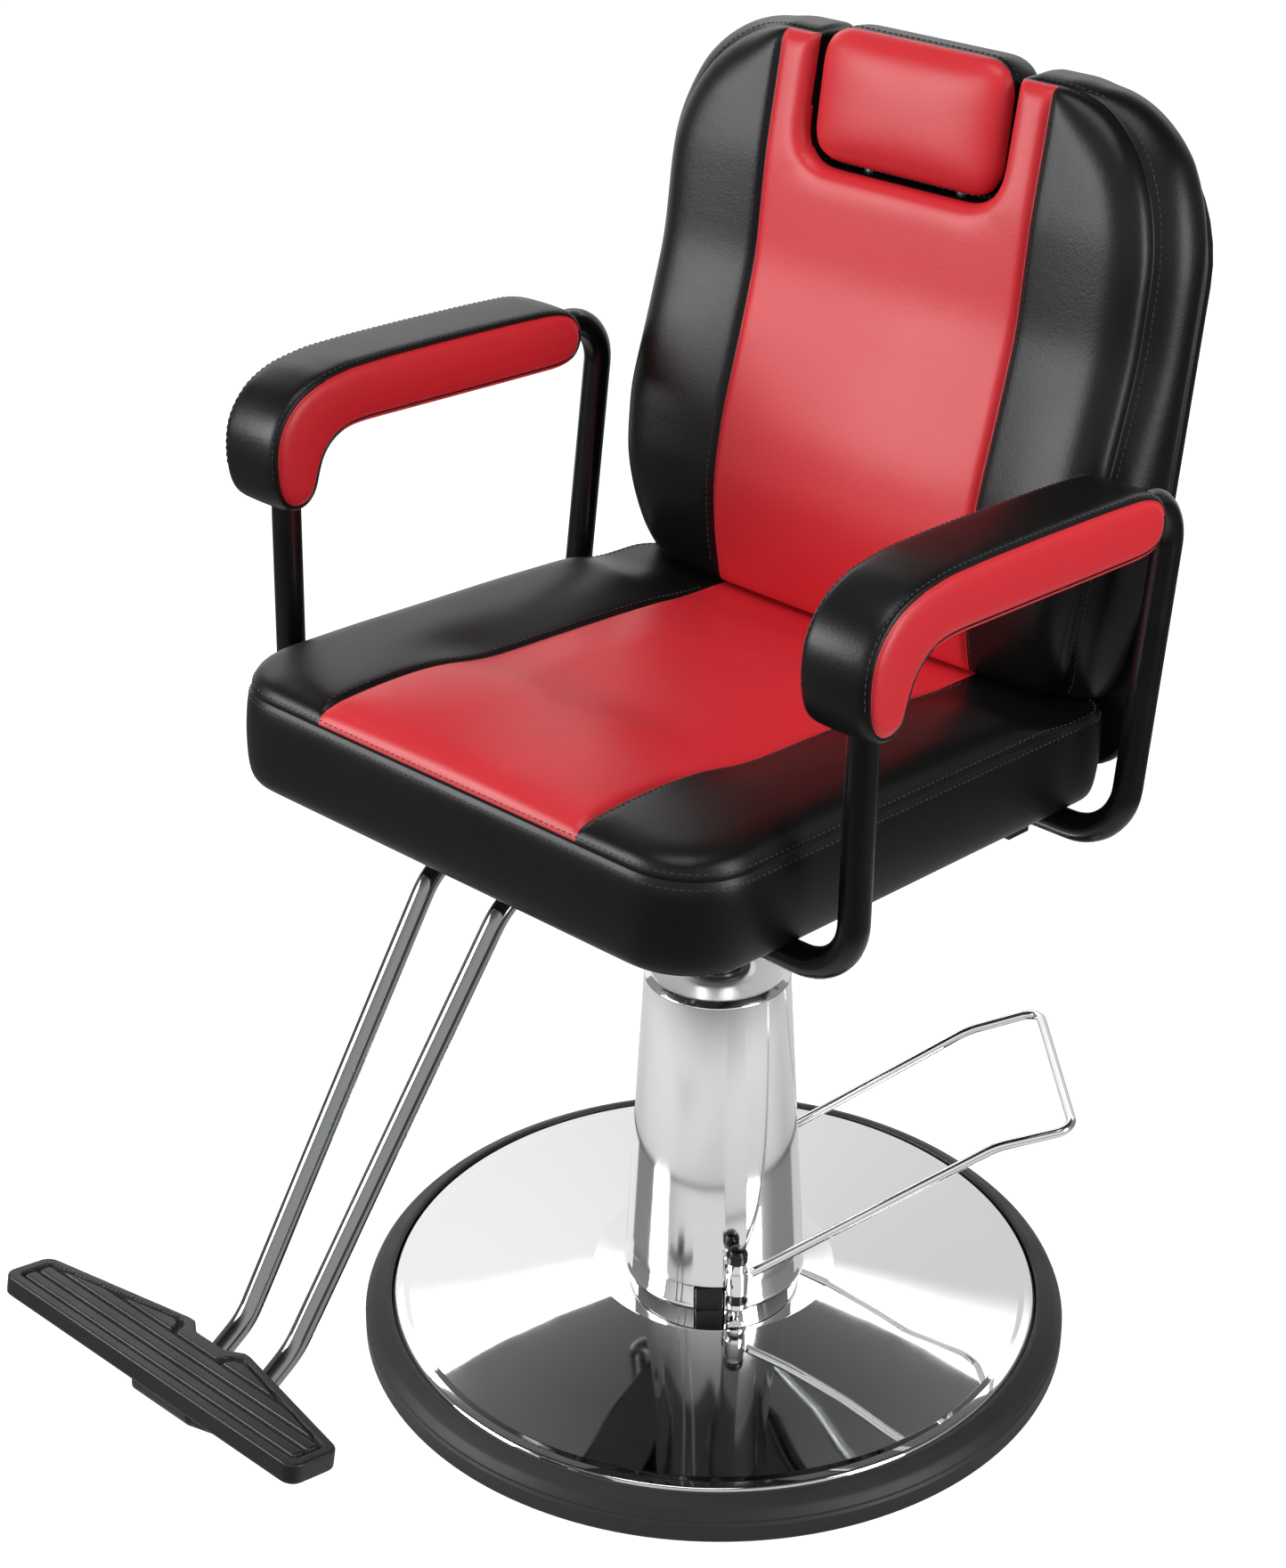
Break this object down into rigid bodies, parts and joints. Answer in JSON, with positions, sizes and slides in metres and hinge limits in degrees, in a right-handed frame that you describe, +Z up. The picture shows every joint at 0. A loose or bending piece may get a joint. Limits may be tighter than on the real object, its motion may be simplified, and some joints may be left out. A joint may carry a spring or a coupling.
{
  "type": "hydraulic barber chair",
  "caption": "Hydraulic barber chair: padded seat and reclining back with headrest and arm pads on a chromed round base, with a foot pump pedal and a footrest.",
  "frame": {"origin": "centre of the base on the floor", "axes": "+Z up along the column, the sitter faces -Y, +X to the sitter's left"},
  "size_m": [0.6384, 0.8907, 1.0512],
  "materials": {
    "chrome": "mirror-polished chrome plate",
    "rubber": "matt moulded rubber",
    "iron": "painted casting",
    "steel": "plain machined and zinc-plated steel",
    "black_gloss": "gloss black powder coat",
    "plywood": "raw plywood",
    "red_vinyl": "semi-gloss grained red vinyl",
    "black_vinyl": "semi-gloss grained black vinyl",
    "black_plastic": "matt moulded plastic"
  },
  "bodies": {
    "base": {"base_dome": "chrome", "base_ballast_plate": "iron", "base_rubber_ring": "rubber", "pump_body": "iron", "plunger_spring": "steel", "pump_cylinder": "steel", "reservoir_tube": "steel", "pump_gland": "steel", "pump_valve_block": "black_gloss", "column_cover": "chrome", "ram_wiper": "rubber"},
    "plunger": {"pump_plunger": "steel"},
    "pedal": {"pedal_loop": "chrome", "pedal_shaft": "steel", "pedal_lug_near": "chrome", "pedal_lug_far": "chrome"},
    "lift": {"lift_ram": "chrome", "ram_piston": "steel"},
    "seat": {"swivel_hub": "black_gloss", "seat_plate": "black_gloss", "seat_plate_bolt_1": "steel", "seat_plate_bolt_2": "steel", "seat_plate_bolt_3": "steel", "seat_plate_bolt_4": "steel", "seat_rail_left": "black_gloss", "seat_rail_right": "black_gloss", "recline_pin_left": "steel", "recline_pin_right": "steel", "seat_cushion": "red_vinyl", "seat_board": "plywood", "arm_pad_left": "black_vinyl", "arm_pad_right": "black_vinyl", "arm_tube_left": "black_gloss", "arm_tube_right": "black_gloss", "arm_bolt_1": "steel", "arm_bolt_2": "steel", "arm_bolt_3": "steel", "arm_bolt_4": "steel", "footrest_tube_left": "chrome", "footrest_tube_right": "chrome", "footplate": "black_plastic", "footrest_clamp": "black_gloss", "footrest_bolt_1": "steel", "footrest_bolt_2": "steel", "strut_bracket": "black_gloss"},
    "strut_body": {"strut_cylinder": "black_gloss"},
    "strut_piston": {"strut_rod": "steel"},
    "lever": {"recline_lever": "black_gloss", "lever_grip": "black_plastic"},
    "back": {"back_cushion": "black_vinyl", "back_shell": "black_vinyl", "headrest_socket_left": "steel", "headrest_socket_right": "steel", "hinge_arm_left": "black_gloss", "hinge_arm_right": "black_gloss", "recline_crossbar": "steel"},
    "headrest": {"headrest_cushion": "red_vinyl", "headrest_post_left": "steel", "headrest_post_right": "steel"}
  },
  "joints": [
    {"name": "seat_lift", "type": "slide", "parent": "base", "child": "lift", "axis": [0, 0, 1], "range_m": [-0.085, 0.065]},
    {"name": "seat_swivel", "type": "hinge", "parent": "lift", "child": "seat", "pos_m": [0, 0, 0.47], "axis": [0, 0, 1], "continuous": true},
    {"name": "pedal_press", "type": "hinge", "parent": "base", "child": "pedal", "pos_m": [0.00913, 0.00926, 0.09], "axis": [-0.712, 0.7022, 0], "range_deg": [0, 24], "stiffness_Nm_per_rad": 5, "springref_deg": -34.38},
    {"name": "plunger_stroke", "type": "slide", "parent": "base", "child": "plunger", "axis": [0, 0, -1], "range_m": [0, 0.0125], "deforming": ["plunger_spring"]},
    {"name": "back_recline", "type": "hinge", "parent": "seat", "child": "back", "pos_m": [0, 0.1981, 0.4935], "axis": [-1, 0, 0], "range_deg": [0, 40]},
    {"name": "strut_swing", "type": "hinge", "parent": "seat", "child": "strut_body", "pos_m": [-0.095, -0.06327, 0.47987], "axis": [1, 0, 0], "range_deg": [0, 2.2]},
    {"name": "strut_stroke", "type": "slide", "parent": "strut_body", "child": "strut_piston", "axis": [0, -0.9927, 0.1202], "range_m": [0, 0.03]},
    {"name": "lever_pull", "type": "hinge", "parent": "seat", "child": "lever", "pos_m": [-0.2, -0.00169, 0.50305], "axis": [-1, 0, 0], "range_deg": [0, 18], "stiffness_Nm_per_rad": 2, "springref_deg": -22.92},
    {"name": "headrest_raise", "type": "slide", "parent": "back", "child": "headrest", "axis": [0, 0.1482, 0.989], "range_m": [0, 0.08]}
  ],
  "couplings": [
    {"joint": "plunger_stroke", "follows": "pedal_press", "m_per_rad": 0.0291},
    {"joint": "strut_swing", "follows": "back_recline", "ratio": 0.045},
    {"joint": "strut_stroke", "follows": "back_recline", "m_per_rad": 0.042}
  ]
}
